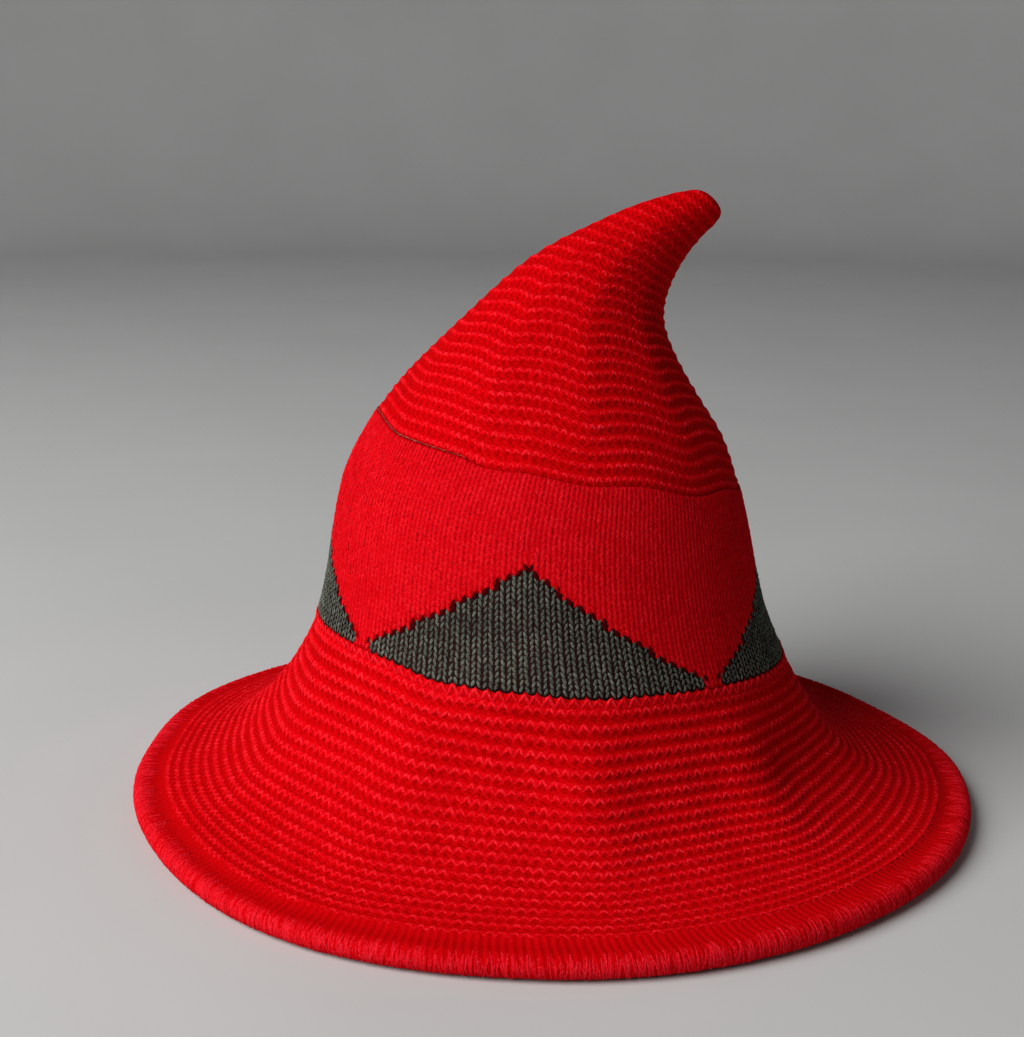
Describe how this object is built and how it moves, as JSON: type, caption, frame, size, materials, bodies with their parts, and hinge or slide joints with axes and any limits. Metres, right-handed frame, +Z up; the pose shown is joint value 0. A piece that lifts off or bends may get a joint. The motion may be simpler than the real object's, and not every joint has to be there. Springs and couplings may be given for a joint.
{
  "type": "wizard hat",
  "caption": "Knitted wizard hat with a ridged peak that bends to one side, a plain band with dark triangles knitted in, a ridged flaring brim and a rolled hem.",
  "frame": {"origin": "middle of the rim, on the surface that the hat rests on", "axes": "+Z up, -Y towards the front, +X to the side that the peak bends to"},
  "size_m": [0.3319, 0.332, 0.2346],
  "materials": {
    "red_ridged": "ridged knit, matt wool",
    "red_plain": "plain knit, matt wool",
    "grey_plain": "plain knit, matt wool"
  },
  "bodies": {
    "root": {"peak": "red_ridged", "band": "red_plain", "panel_front": "grey_plain", "panel_right": "grey_plain", "panel_back": "grey_plain", "panel_left": "grey_plain", "brim": "red_ridged", "rolled_hem": "red_plain"}
  },
  "joints": []
}
